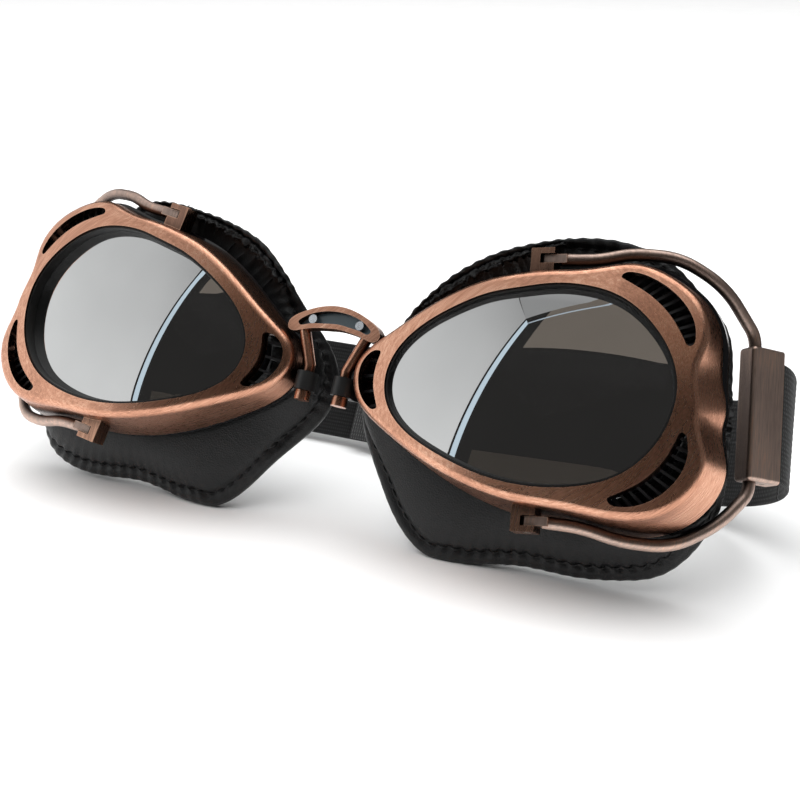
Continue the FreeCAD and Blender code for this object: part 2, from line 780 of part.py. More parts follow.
def make_bracket():
    """A copper plate folded into a box round the bail's straight, with a mouth for the strap."""
    half_depth = size("bracket_depth") / 2
    half_height = size("bracket_height") / 2
    wall = size("bracket_wall")
    low = Vector(-BRACKET_HEEL, -half_depth, -half_height)
    block = box("bracket_block", low, Vector(BRACKET_MOUTH, half_depth, half_height), BRACKET_PLACE)
    doc.recompute()
    mouth = BAR + ALONG * BRACKET_MOUTH
    folds = [
        number
        for number, edge in enumerate(block.Shape.Edges, 1)
        if any(abs((vertex.Point - mouth).dot(ALONG)) > size("seat_gap") for vertex in edge.Vertexes)
    ]
    outside = rounded("bracket_outside", block, folds, size("bracket_bend"))
    hollow = box(
        "bracket_hollow",
        low + Vector(wall, wall, wall),
        Vector(BRACKET_MOUTH + size("overrun"), half_depth - wall, half_height - wall),
        BRACKET_PLACE,
    )
    reach = UPWARD * size("bracket_height")
    bar_hole = rod("bar_hole", "sizes.wire_radius + sizes.pin_clearance", BAR - reach, BAR + reach)
    hole_radius = "sizes.strap_pin_radius + sizes.seat_gap"
    pin_hole = rod("pin_hole", hole_radius, STRAP_PIN - reach, STRAP_PIN + reach)
    return cut("strap_bracket", outside, fuse("bracket_cuts", [hollow, bar_hole, pin_hole]))


def make_strap_pin():
    """The pin across the bracket that the end of the strap is looped round."""
    reach = UPWARD * (size("bracket_height") / 2 - size("seat_gap"))
    return rod("strap_pin", "sizes.strap_pin_radius", STRAP_PIN - reach, STRAP_PIN + reach)


# The strap and its slider
LAYER_STEP = size("strap_thickness") + size("slider_bar_thickness") + 2 * size("strap_gap")
LOOP_STEPS = 6
ARC_STEPS = 9
TAIL_SHARE = 0.8
UP = Vector(0, 0, 1)


def strap_path(floor, layers_behind):
    """Centres and band directions along half the strap, from its tail round the pin to the back."""
    middle = size("strap_pin_radius") + size("loop_gap") + size("strap_thickness") / 2
    tail = TAIL_SHARE * (BRACKET_MOUTH - size("strap_pin_offset"))
    path = [(STRAP_PIN + ALONG * tail - INWARD * middle, UPWARD)]
    for step in range(LOOP_STEPS + 1):
        turn = -math.pi / 2 - math.pi * step / LOOP_STEPS
        path.append((STRAP_PIN + (ALONG * math.cos(turn) + INWARD * math.sin(turn)) * middle, UPWARD))
    leave = BAR + ALONG * (BRACKET_MOUTH + size("strap_thickness")) + INWARD * middle
    path.append((leave, UPWARD))
    heading = math.atan2(ALONG.y, ALONG.x)
    radius = size("strap_turn_radius")
    hub = Vector(leave.x - math.sin(heading) * radius, leave.y + math.cos(heading) * radius, leave.z)
    depth = size("strap_back") + layers_behind * LAYER_STEP
    sweep = depth - hub.y
    plan = []
    for step in range(1, LOOP_STEPS + 1):
        turn = heading + (math.pi / 2 - heading) * step / LOOP_STEPS - math.pi / 2
        plan.append(Vector(hub.x + math.cos(turn) * radius, hub.y + math.sin(turn) * radius, 0))
    for step in range(1, ARC_STEPS + 1):
        turn = math.pi / 2 * step / ARC_STEPS
        plan.append(Vector(hub.x + radius - sweep * (1 - math.cos(turn)), hub.y + math.sin(turn) * sweep, 0))
    lean = math.radians(size("lean"))
    half = size("strap_thickness") / 2
    rear = size("strap_back") + LAYER_STEP + half + size("strap_gap") + size("slider_wall")
    slider_foot = (floor + rear * math.sin(lean)) / math.cos(lean)
    height = slider_foot + size("slider_wall") + size("strap_gap") + size("strap_width") / 2
    for step, point in enumerate(plan, 1):
        along = step / len(plan)
        share = along * along * (3 - 2 * along)
        point.z = leave.z + (height - leave.z) * share
        path.append((point, (UPWARD * (1 - share) + UP * share).normalize()))
    path.append((Vector(-size("strap_lap"), depth, height), UP))
    return path


def mirrored(point):
    return Vector(-point.x, point.y, point.z)


def make_strap(name, path):
    """A woven band along its path, as a row of flat sections."""
    wires = []
    for index, (centre, band) in enumerate(path):
        before = path[max(index - 1, 0)][0]
        after = path[min(index + 1, len(path) - 1)][0]
        through = (after - before).cross(band).normalize() * (size("strap_thickness") / 2)
        across = band * (size("strap_width") / 2)
        low, high = centre - across, centre + across
        corners = [low - through, low + through, high + through, high - through]
        wires.append(Part.makePolygon(corners + corners[:1]))
    feature = doc.addObject("Part::Feature", name)
    feature.Shape = Part.makeLoft(wires, True, True)
    length = sum((after[0] - before[0]).Length for before, after in zip(path, path[1:]))
    print("%s is %.0f mm long, volume %.0f mm3" % (name, length, feature.Shape.Volume))
    return feature


def make_slider(height):
    """The slider round both layers of the strap, and the bar between them."""
    half = size("slider_length") / 2
    inner = size("strap_width") / 2 + size("strap_gap")
    near = size("strap_back") - size("strap_thickness") / 2 - size("strap_gap")
    far = near + LAYER_STEP + size("strap_thickness") + 2 * size("strap_gap")
    wall = size("slider_wall")
    outer = inner + wall
    low = Vector(-half, near - wall, height - outer)
    high = Vector(half, far + wall, height + outer)
    block = box("slider_block", low, high)
    over = half + size("overrun")
    way = box("slider_way", Vector(-over, near, height - inner), Vector(over, far, height + inner))
    bar_front = (near + far - size("slider_bar_thickness")) / 2
    bar_end = inner - size("seat_gap")
    bar = box(
        "slider_bar",
        Vector(-half / 2, bar_front, height - bar_end),
        Vector(half / 2, bar_front + size("slider_bar_thickness"), height + bar_end),
    )
    return cut("strap_slider", block, way), bar


# The bridge: shares of its half width and of its top's height, from its top round its right end
BRIDGE_SHARES = [
    (0.0, 1.0), (0.30, 0.965), (0.565, 0.88), (0.79, 0.77), (0.955, 0.645), (1.0, 0.535), (0.96, 0.44),
    (0.87, 0.41), (0.68, 0.45), (0.375, 0.52), (0.0, 0.55),
]
BRIDGE_SLOT_SHARES = [
    (0.0, 0.89), (0.30, 0.86), (0.565, 0.775), (0.73, 0.67), (0.79, 0.59), (0.75, 0.545), (0.625, 0.56),
    (0.34, 0.615), (0.0, 0.645),
]
LEG_TOP_SHARES = (0.68, 0.485)
POST_SHARES = (0.51, 0.69)
BRIDGE_BACK_SHARE = 0.25
BRIDGE_BACK = size("hinge_depth") + BRIDGE_BACK_SHARE * size("bridge_thickness")
SLEEVE_FOOT = -size("sleeve_drop") - size("sleeve_height")


def bridge_point(shares):
    """A place on the right half of the bridge."""
    return Vector(shares[0] * size("bridge_half_width"), 0, shares[1] * size("bridge_top"))


def bridge_points(table):
    """A closed outline from a table of its right half."""
    right = [bridge_point(shares) for shares in reversed(table)]
    return right + [mirrored(point) for point in reversed(right[1:-1])]


def crescent_slice(name, points, near, far):
    """An outline of the bridge, given a depth."""
    edge = outline(name + "_outline", points)
    edge.Placement = Placement(BACK * near, Rotation())
    feature = doc.addObject("Part::Extrusion", name)
    feature.Base = edge
    feature.DirMode = "Custom"
    feature.Dir = BACK
    feature.LengthFwd = far - near
    feature.Solid = True
    return feature


def make_bridge():
    """The crescent, its two legs and the pins that the eyecups swing on."""
    near = BRIDGE_BACK - size("bridge_thickness")
    over = size("overrun")
    loop = cut(
        "bridge_loop",
        crescent_slice("bridge_edge", bridge_points(BRIDGE_SHARES), near, BRIDGE_BACK),
        crescent_slice("bridge_slot", bridge_points(BRIDGE_SLOT_SHARES), near - over, BRIDGE_BACK + over),
    )
    pieces = [loop]
    knee_height = size("leg_radius") + size("lens_clearance") - size("sleeve_drop")
    foot_height = SLEEVE_FOOT - size("nut_height") + size("nut_cap")
    for side, word in ((1, "right"), (-1, "left")):
        head = bridge_point(LEG_TOP_SHARES) + BACK * (BRIDGE_BACK - size("leg_radius"))
        head.x *= side
        knee = Vector(side * size("hinge_offset"), size("hinge_depth"), knee_height)
        foot = Vector(knee.x, knee.y, foot_height)
        bend = add("Part::Sphere", word + "_knee", Radius="sizes.leg_radius")
        bend.Placement = Placement(knee, Rotation())
        pieces += [rod(word + "_leg", "sizes.leg_radius", head, knee), bend]
        pieces.append(rod(word + "_leg_pin", "sizes.leg_radius", knee, foot))
    return fuse("bridge_frame", pieces)


def make_nuts():
    """The caps that keep the eyecups on the bridge's pins."""
    nuts = []
    for side, word in ((1, "right"), (-1, "left")):
        top = Vector(side * size("hinge_offset"), size("hinge_depth"), SLEEVE_FOOT - size("body_clearance"))
        foot = Vector(top.x, top.y, SLEEVE_FOOT - size("nut_height"))
        block = rod(word + "_nut_block", "sizes.nut_radius", top, foot)
        bottom = foot + UP * (size("nut_cap") - size("seat_gap"))
        above = top + UP * size("overrun")
        bore = rod(word + "_nut_bore", "sizes.leg_radius + sizes.seat_gap", above, bottom)
        nuts.append(cut(word + "_nut", block, bore))
    return group("bridge_nuts", nuts)


def make_insert():
    """The glossy plate in the bridge's slot, and the two bright posts that stand on it."""
    near = BRIDGE_BACK - size("insert_thickness")
    inside = offset_points(bridge_points(BRIDGE_SLOT_SHARES), -size("seat_gap"))
    plate = crescent_slice("bridge_insert", inside, near, BRIDGE_BACK)
    posts = []
    for side, word in ((1, "right"), (-1, "left")):
        seat = bridge_point(POST_SHARES) + BACK * (near - size("seat_gap"))
        seat.x *= side
        posts.append(rod(word + "_post", "sizes.post_radius", seat, seat - BACK * size("post_height")))
    return plate, group("bridge_posts", posts)


# One eyecup and its bail, then the middle
cushion, FLOOR = make_cushion()
SIDED = {
    "front_frame": make_front_frame(),
    "lens": make_lens(),
    "lens_gasket": make_gasket(),
    "lens_retainer": make_retainer(),
    "inner_body": make_inner_body(),
    "vent_grilles": make_vent_grilles(),
    "cushion_base": make_cushion_base(),
    "cushion": cushion,
    "nose_sleeve": make_nose_sleeve(),
    "top_lug": make_lug("top"),
    "bottom_lug": make_lug("bottom"),
    "bail_pins": make_bail_pins(),
    "bail": make_bail(),
    "strap_bracket": make_bracket(),
    "strap_pin": make_strap_pin(),
}
right_path = strap_path(FLOOR, 0)
left_path = [(mirrored(centre), mirrored(band)) for centre, band in strap_path(FLOOR, 1)]
slider, slider_bar = make_slider(right_path[-1][0].z)
insert, posts = make_insert()
MIDDLE = {
    "bridge_frame": make_bridge(),
    "bridge_nuts": make_nuts(),
    "bridge_insert": insert,
    "bridge_posts": posts,
    "strap_right": make_strap("strap_right", right_path),
    "strap_left": make_strap("strap_left", left_path),
    "strap_slider": slider,
    "slider_bar": slider_bar,
}
doc.recompute()

# Lean everything back, with the cushions and the slider on the table and the middle over the origin
PIECES = list(SIDED.values()) + list(MIDDLE.values())
depths = [point.y for piece in PIECES for point in leaned_points(piece.Shape)]
STAND = Placement(Vector(0, -(min(depths) + max(depths)) / 2, -FLOOR), LEAN)
for piece in PIECES:
    piece.Placement = STAND.multiply(piece.Placement)
doc.recompute()

# The left eyecup mirrors the right one
NODES = dict(MIDDLE)
for label, piece in SIDED.items():
    NODES["right_" + label] = piece
    mirror = doc.addObject("Part::Mirroring", "left_" + label)
    mirror.Source = piece
    mirror.Normal = Vector(1, 0, 0)
    NODES["left_" + label] = mirror
for label, piece in NODES.items():
    piece.Label = label
doc.recompute()

for feature in doc.Objects:
    if {"Invalid", "Error"} & set(feature.State):
        raise RuntimeError("%s did not build" % feature.Name)
for label, piece in NODES.items():
    if piece.Shape.isNull() or not piece.Shape.isValid():
        raise RuntimeError("%s has no valid shape" % label)

os.makedirs("parts", exist_ok=True)
for label, piece in NODES.items():
    piece.Shape.exportStep("parts/%s.step" % label)
    print("%s: %d solids, %.0f mm3" % (label, len(piece.Shape.Solids), piece.Shape.Volume))
axes = {
    "eyecup hinge": (Vector(size("hinge_offset"), size("hinge_depth"), 0), UP),
    "bail hinge": (cup_point(0, size("lug_depth"), 0), UPWARD),
    "strap slot": (BAR, ALONG),
}
for label, (point, axis) in axes.items():
    print(label, STAND.multVec(point), LEAN.multVec(axis))
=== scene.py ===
"""Steampunk goggles: the finishes, the leather cushions, the woven strap and a studio round them.

Places and sizes are in metres. The goggles lean back, so the cushions and the strap are worked out in the
cup's own directions: to the right, back towards the face, and up in the plane of the lenses.
"""
import json
import math

import bpy
import numpy as np
from mathutils import Matrix, Vector


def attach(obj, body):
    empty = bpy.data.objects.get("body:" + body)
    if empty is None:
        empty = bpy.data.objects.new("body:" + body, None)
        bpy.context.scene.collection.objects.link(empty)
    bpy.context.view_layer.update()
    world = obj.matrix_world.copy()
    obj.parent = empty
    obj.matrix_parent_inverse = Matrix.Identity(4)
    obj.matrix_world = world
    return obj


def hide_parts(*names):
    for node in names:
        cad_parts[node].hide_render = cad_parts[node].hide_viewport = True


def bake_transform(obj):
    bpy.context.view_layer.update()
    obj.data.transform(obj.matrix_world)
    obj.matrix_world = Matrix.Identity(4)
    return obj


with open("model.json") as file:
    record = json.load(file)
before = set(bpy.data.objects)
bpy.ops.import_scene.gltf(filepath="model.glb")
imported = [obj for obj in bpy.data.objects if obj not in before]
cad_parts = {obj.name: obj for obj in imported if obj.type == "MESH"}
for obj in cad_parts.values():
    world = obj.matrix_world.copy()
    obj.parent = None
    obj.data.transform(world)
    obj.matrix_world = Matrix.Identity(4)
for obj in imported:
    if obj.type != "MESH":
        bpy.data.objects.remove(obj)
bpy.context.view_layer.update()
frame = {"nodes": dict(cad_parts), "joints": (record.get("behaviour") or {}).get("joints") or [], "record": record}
NODES = frame["nodes"]
JOINTS = {joint["name"]: joint for joint in frame["joints"]}
MOUNTS = {mount["name"]: mount for mount in frame["record"]["mounts"]}
SIDES = {"right": 1, "left": -1}
MM = 0.001

# Directions of the right eyecup, a point on its axis, and the middle of the bridge
RIGHT = Vector((1, 0, 0))
UP = Vector(JOINTS["right_eyecup_hinge"]["axis"]).normalized()
BACK = UP.cross(RIGHT)
CUP = Vector(JOINTS["right_bail_swing"]["pos_m"])
CUP_AXES = np.array([RIGHT, BACK, UP])
HINGE = Vector(JOINTS["right_eyecup_hinge"]["pos_m"])
MIDDLE = Vector((0, HINGE.y, HINGE.z))

# Camera, placed from the middle of the bridge
CAMERA_PLACE = MIDDLE + Vector((0.1699, -0.28356, 0.10458))
CAMERA_AIM = Vector((-0.44428, 0.83338, -0.32881))
CAMERA_LENS = 65.25
CAMERA_SENSOR = 36.0

# Leather cushion
STATIONS = 600
HEM_STEPS = 20
HEM_STEP = 0.5 * MM
REST_STEPS = 36
LIP_LEAN = 0.35
STITCH_REACH = 4.4 * MM
STITCH_PITCH = 3.2 * MM
THREAD_RADIUS = 0.3 * MM
THREAD_SIDES = 6
THREAD_RINGS = 7
THREAD_SHARE = 0.78
WELT_ANGLES = (196.0, 238.0)
WELT_FADE = 9.0
PLAIN_SHARE = 0.2

ROW_BLUR = 2
EASE_BLUR = 8
GROOVE_WIDTH = 0.9 * MM
GROOVE_DEPTH = 0.55 * MM
STITCH_DEPTH = 0.5 * MM
HEM_RISE = 0.45 * MM
HEM_GATHER_SHARE = 0.6
SKIRT_FADE = 2.4 * MM
SKIRT_GATHER = 0.4 * MM
SETTLE = 0.3 * MM
THREAD_BOW_SHARE = 1.5
THREAD_SINK_SHARE = 0.7
TINY = 1e-12

# How far each cushion's edge was squeezed outward in use: angle round the cup, then millimetres
EASES = {
    "right": [
        (0, 0.0), (46, 0.3), (60, 1.6), (72, 1.4), (85, 1.0), (103, 0.8), (121, 0.8), (150, 0.0), (210, 0.0),
        (225, 0.8), (250, 0.3), (285, 0.0), (300, -0.6), (313, 0.0), (325, 1.0), (335, 0.8), (350, 0.0),
    ],
    "left": [
        (0, 0.0), (46, -1.0), (60, -2.6), (72, -2.3), (85, -2.2), (103, -1.6), (121, 0.0), (139, 2.3),
        (150, 2.3), (160, 1.4), (175, 0.0), (270, 0.0), (285, 0.8), (300, 1.4), (313, 0.8), (325, -1.0),
        (338, -0.6), (350, 0.0),
    ],
}

# Strap
STRAP_WIDTH = 26.8 * MM
STRAP_THICKNESS = 1.1 * MM
PIN_RADIUS = 0.6 * MM
PIN_OFFSET = 3.4 * MM
LOOP_GAP = 0.1 * MM
BRACKET_MOUTH = 6.05 * MM
TAIL_SHARE = 0.8
TURN_RADIUS = 10.0 * MM
LAYER_STEP = 2.7 * MM
STRAP_LAP = 20.0 * MM
LOOP_STEPS = 12
TURN_STEPS = 14
ARC_STEPS = 60
SPLIT_STEP = 16
RIBS = 18
RIB_STEPS = 4
RIB_HEIGHT = 0.12 * MM
BAND_EDGE_SHARE = 0.35
BAND_EDGE_POWER = 40

# Sizes of the marks and grains of the finishes
STREAK = (26.0 * MM, 0.22 * MM, 1.2 * MM)
SCRATCH = (12.0 * MM, 0.09 * MM, 0.4 * MM)
PATINA = (16.0 * MM, 9.0 * MM, 16.0 * MM)
BRUSH_DEPTH = 0.03 * MM
HOLLOW_REACH = 9.0 * MM
WORN_RADIUS = 0.5 * MM
MOULD_PATCH = 11.0 * MM
MOULD_DEPTH = 0.03 * MM
LENS_HAZE = 25.0 * MM
METAL_MARK = 1.1 * MM
LEATHER_WARP = 2.0 * MM
LEATHER_PATCH = 8.0 * MM
LEATHER_GRAIN = 0.6 * MM
THREAD_GRAIN = 0.25 * MM
PEBBLE_DEPTH = 0.08 * MM
CREASE_DEPTH = 0.4 * MM
CORD_DENSITY = 0.32 / MM
WEFT_DENSITY = 0.45 / MM
WEAVE_DEPTH = 0.15 * MM
FLOOR_PATCH = 30.0 * MM

# How the copper's marks mix, and where the hollows' patina and painted shade and the worn edges begin and are full
SCRATCH_SHARE = 0.4
PATINA_SHARE = 0.35
RELIEF_SHARE = 0.5
SHADE_SHARE = 0.25
MARK_RANGE = (0.36, 0.64)
HOLLOW_RANGE = (0.5, 0.93)
WORN_RANGE = (0.72, 0.96)
BRUSH_STRENGTH = 0.07
BRUSH_GLOSS = 0.05
SHADER_SAMPLES = 6


# Materials
class Finish:
    """A material whose shader and node tree are at hand."""

    def __init__(self, name, **sockets):
        self.material = bpy.data.materials.new(name)
        self.material.use_nodes = True
        self.tree = self.material.node_tree
        self.shader = self.tree.nodes["Principled BSDF"]
        for socket, value in sockets.items():
            self.shader.inputs[socket.replace("_", " ")].default_value = value

    def node(self, kind, settings=None, **inputs):
        """A new node, with its settings and with values or links for its inputs."""
        made = self.tree.nodes.new(kind)
        for name, value in (settings or {}).items():
            setattr(made, name, value)
        for name, value in inputs.items():
            socket = made.inputs[name.replace("_", " ")]
            if isinstance(value, bpy.types.NodeSocket):
                self.tree.links.new(value, socket)
            else:
                socket.default_value = value
        return made

    def feed(self, socket, output):
        self.tree.links.new(output, self.shader.inputs[socket])

    def place(self, sizes, turn=(0, 0, 0)):
        """Object coordinates along turned axes, counted in sizes along each."""
        coordinates = self.node("ShaderNodeTexCoord").outputs["Object"]
        settings = {"vector_type": "TEXTURE"}
        mapping = self.node("ShaderNodeMapping", settings, Vector=coordinates, Rotation=turn, Scale=sizes)
        return mapping.outputs["Vector"]

    def noise(self, sizes, turn=(0, 0, 0), detail=3.0, roughness=0.5):
        """Noise with cells of the given sizes."""
        vector = self.place(sizes, turn)
        made = self.node("ShaderNodeTexNoise", Vector=vector, Scale=1.0, Detail=detail, Roughness=roughness)
        return made.outputs["Fac"]

    def ramp(self, factor, stops):
        """A colour ramp of (place, colour) stops."""
        made = self.node("ShaderNodeValToRGB", Fac=factor)
        elements = made.color_ramp.elements
        while len(elements) < len(stops):
            elements.new(0.5)
        for element, (place, colour) in zip(elements, stops):
            element.position = place
            element.color = (*colour, 1.0)
        return made.outputs["Color"]

    def spread(self, factor, low, high, source=(0.3, 0.7)):
        """A factor taken from one range to another."""
        made = self.node("ShaderNodeMapRange", Value=factor)
        made.inputs["From Min"].default_value = source[0]
        made.inputs["From Max"].default_value = source[1]
        made.inputs["To Min"].default_value = low
        made.inputs["To Max"].default_value = high
        return made.outputs["Result"]

    def mix(self, factor, first, second, blend="MIX"):
        made = self.node("ShaderNodeMix", {"data_type": "RGBA", "blend_type": blend})
        for name, value in ((0, factor), (6, first), (7, second)):
            socket = made.inputs[name]
            if isinstance(value, bpy.types.NodeSocket):
                self.tree.links.new(value, socket)
            else:
                socket.default_value = value
        return made.outputs[2]

    def bump(self, height, strength, distance, under=None):
        made = self.node("ShaderNodeBump", Height=height, Strength=strength, Distance=distance)
        if under is not None:
            self.tree.links.new(under, made.inputs["Normal"])
        return made.outputs["Normal"]

    def edges(self, radius, low, high):
        """A factor that is high along edges, from how far a rounded normal leaves the true one."""
        soft = self.node("ShaderNodeBevel", {"samples": SHADER_SAMPLES}, Radius=radius)
        true = self.node("ShaderNodeNewGeometry")
        dot = self.node("ShaderNodeVectorMath", {"operation": "DOT_PRODUCT"})
        self.tree.links.new(soft.outputs["Normal"], dot.inputs[0])
        self.tree.links.new(true.outputs["Normal"], dot.inputs[1])
        return self.spread(dot.outputs["Value"], 1.0, 0.0, (low, high))

    def crevices(self, reach, low, high):
        """A factor that is high where other surfaces crowd round."""
        open_sky = self.node("ShaderNodeAmbientOcclusion", {"samples": SHADER_SAMPLES}, Distance=reach)
        return self.spread(open_sky.outputs["AO"], 1.0, 0.0, (low, high))


def axes_turn(along, across):
    """The turn that takes X to one direction and Y towards another."""
    third = along.cross(across).normalized()
    second = third.cross(along).normalized()
    return tuple(Matrix((along.normalized(), second, third)).transposed().to_euler())


def brushed_copper(name, turn, light, dark, worn, roughness):
    """Antique copper plate: fine brush marks, hollows darkened partly by patina and partly by painted shade, and
    bright edges.
    """
    finish = Finish(name, Metallic=1.0)
    streaks = finish.noise(STREAK, turn, 2.0, 0.55)
    scratches = finish.noise(SCRATCH, turn, 1.0)
    patina = finish.noise(PATINA, turn, 2.0)
    brushing = finish.mix(SCRATCH_SHARE, streaks, scratches)
    marks = finish.mix(PATINA_SHARE, brushing, patina)
    tone = finish.spread(marks, 0.0, 1.0, MARK_RANGE)
    colour = finish.ramp(tone, [(0.0, dark), (0.5, light), (1.0, worn)])
    # Hollows are darkened towards a shade colour: partly the copper's patina, partly painted shade
    hollow_patina_and_shade_mask = finish.crevices(HOLLOW_REACH, *HOLLOW_RANGE)
    shade = tuple(channel * SHADE_SHARE for channel in dark)
    patina_and_painted_shade = finish.mix(hollow_patina_and_shade_mask, colour, (*shade, 1.0))
    edge = finish.edges(WORN_RADIUS, *WORN_RANGE)
    finish.feed("Base Color", finish.mix(edge, patina_and_painted_shade, (*worn, 1.0)))
    finish.feed("Roughness", finish.spread(streaks, roughness + BRUSH_GLOSS, roughness - BRUSH_GLOSS))
    relief = finish.mix(RELIEF_SHARE, streaks, scratches)
    finish.feed("Normal", finish.bump(relief, BRUSH_STRENGTH, BRUSH_DEPTH))
    return finish.material


def moulding(name, colour, roughness, grain_size, grain):
    """Moulded plastic or rubber: a nearly even colour with fine moulding grain."""
    finish = Finish(name)
    fine = finish.noise((grain_size,) * 3)
    broad = finish.noise((MOULD_PATCH,) * 3, detail=2.0)
    pale = tuple(min(1.0, channel * 1.5) for channel in colour)
    finish.feed("Base Color", finish.ramp(broad, [(0.35, colour), (0.75, pale)]))
    finish.feed("Roughness", finish.spread(broad, roughness - 0.03, roughness + 0.05))
    finish.feed("Normal", finish.bump(fine, grain, MOULD_DEPTH))
    return finish.material


def smoke_lens():
    """Smoke tinted lens with a mirror coat."""
    finish = Finish("lens_mirror", Metallic=0.96, Transmission_Weight=1.0, IOR=1.5, Roughness=0.012)
    haze = finish.noise((LENS_HAZE,) * 3, detail=2.0)
    finish.feed("Base Color", finish.ramp(haze, [(0.3, (0.54, 0.54, 0.54)), (0.7, (0.59, 0.59, 0.59))]))
    return finish.material


def polished_metal(name, colour, roughness):
    finish = Finish(name, Metallic=1.0)
    marks = finish.noise((METAL_MARK,) * 3)
    dull = tuple(channel * 0.8 for channel in colour)
    finish.feed("Base Color", finish.ramp(marks, [(0.3, dull), (0.6, colour)]))
    finish.feed("Roughness", finish.spread(marks, roughness, roughness + 0.08))
    return finish.material


def black_leather(name, grain):
    """Fine-grained black leather."""
    finish = Finish(name, Specular_IOR_Level=0.34)
    warp = finish.noise((LEATHER_WARP,) * 3)
    place = finish.node("ShaderNodeVectorMath", {"operation": "ADD"})
    finish.tree.links.new(finish.place((grain,) * 3), place.inputs[0])
    finish.tree.links.new(warp, place.inputs[1])
    settings = {"feature": "DISTANCE_TO_EDGE"}
    cells = finish.node("ShaderNodeTexVoronoi", settings, Vector=place.outputs["Vector"], Scale=1.0)
    pebbles = finish.spread(cells.outputs["Distance"], 0.0, 1.0, (0.0, 0.3))
    broad = finish.noise((LEATHER_PATCH,) * 3)
    dark = (0.0025, 0.0025, 0.0027)
    pale = (0.006, 0.006, 0.0064)
    finish.feed("Base Color", finish.ramp(broad, [(0.3, dark), (0.7, pale)]))
    finish.feed("Roughness", finish.spread(broad, 0.34, 0.46))
    fine = finish.bump(pebbles, 0.6, PEBBLE_DEPTH)
    finish.feed("Normal", finish.bump(broad, 0.2, CREASE_DEPTH, fine))
    return finish.material


def woven_elastic():
    """Woven black elastic: fine cords along the band, crossed by the weft."""
    finish = Finish("woven_elastic", Roughness=0.8, Sheen_Weight=0.15, Sheen_Roughness=0.4)
    grid = finish.node("ShaderNodeUVMap", {"uv_map": "band"}).outputs["UV"]
    cords = finish.node("ShaderNodeTexWave", {"bands_direction": "Y"}, Vector=grid, Scale=CORD_DENSITY)
    weft = finish.node("ShaderNodeTexWave", {"bands_direction": "X"}, Vector=grid, Scale=WEFT_DENSITY)
    weave = finish.mix(1.0, cords.outputs["Color"], weft.outputs["Color"], "MULTIPLY")
    finish.feed("Base Color", finish.ramp(weave, [(0.0, (0.003, 0.003, 0.003)), (0.8, (0.02, 0.02, 0.021))]))
    finish.feed("Normal", finish.bump(weave, 0.6, WEAVE_DEPTH))
    return finish.material


SLANT = axes_turn(RIGHT + UP, BACK)
UPRIGHT = axes_turn(UP, BACK)

# Coppers: name, direction of the brushing, colour, patina, worn edges and roughness
COPPERS = {
    "copper": ("brushed_copper", SLANT, (0.61, 0.305, 0.20), (0.42, 0.205, 0.135), (0.80, 0.46, 0.32), 0.29),
    "aged_copper": (
        "aged_copper", UPRIGHT, (0.42, 0.23, 0.16), (0.24, 0.14, 0.105), (0.66, 0.38, 0.26), 0.27,
    ),
    "dark_copper": ("dark_copper", UPRIGHT, (0.54, 0.40, 0.34), (0.38, 0.28, 0.24), (0.78, 0.50, 0.37), 0.40),
}

# Mouldings: colour, roughness, size of the grain and its strength
MOULDINGS = {
    "black_gloss": ((0.004, 0.004, 0.0045), 0.09, 1.1 * MM, 0.02),
    "black_plastic": ((0.004, 0.004, 0.0045), 0.55, 0.4 * MM, 0.10),
    "rubber": ((0.004, 0.004, 0.004), 0.45, 0.33 * MM, 0.15),
    "insert_gloss": ((0.05, 0.07, 0.08), 0.12, 1.4 * MM, 0.02),
}

# Polished metals: name, colour and roughness
METALS = {
    "steel": ("dark_steel", (0.30, 0.26, 0.23), 0.35),
    "chrome": ("chrome", (0.62, 0.63, 0.65), 0.16),
}

MATERIALS = {"lens_glass": smoke_lens()}
MATERIALS.update({slot: brushed_copper(*values) for slot, values in COPPERS.items()})
MATERIALS.update({slot: moulding(slot, *values) for slot, values in MOULDINGS.items()})
MATERIALS.update({slot: polished_metal(*values) for slot, values in METALS.items()})
LEATHER = black_leather("black_leather", LEATHER_GRAIN)
THREAD = black_leather("black_thread", THREAD_GRAIN)
WEBBING = woven_elastic()


def dress_nodes():
    """Each solid takes the finish of its own slot."""
    for name, node in NODES.items():
        for slot in node.material_slots:
            finish = "aged_copper" if name.endswith("_lug") else slot.material.name
            if finish in MATERIALS:
                slot.material = MATERIALS[finish]


# Mesh helpers
def mesh_object(name, points, faces, material):
    mesh = bpy.data.meshes.new(name)
    mesh.from_pydata([tuple(point) for point in points], [], faces)
    mesh.materials.append(material)
    for polygon in mesh.polygons:
        polygon.use_smooth = True
    mesh.update()
    made = bpy.data.objects.new(name, mesh)
    bpy.context.scene.collection.objects.link(made)
    return made


def grid_faces(rows, columns, closed_rows, closed_columns, flip=False):
    """Quads over a grid of points, counted row by row."""
    faces = []
    for row in range(rows if closed_rows else rows - 1):
        below = row * columns
        above = (row + 1) % rows * columns
        for column in range(columns if closed_columns else columns - 1):
            after = (column + 1) % columns
            quad = [below + column, below + after, above + after, above + column]
            faces.append(quad[::-1] if flip else quad)
    return faces


def smooth_round(values, width):
    """Values round a closed row, evened out over a width of neighbours."""
    total = np.zeros_like(values)
    weights = 0.0
    for shift in range(-2 * width, 2 * width + 1):
        weight = math.exp(-((shift / width) ** 2))
        total += weight * np.roll(values, shift, axis=0)
        weights += weight
    return total / weights


def cup_points(node):
    """A node's points along the cup's own directions, from a point on its axis."""
    points = np.array([vertex.co for vertex in NODES[node].data.vertices])
    return (points - np.array(CUP)) @ CUP_AXES.T


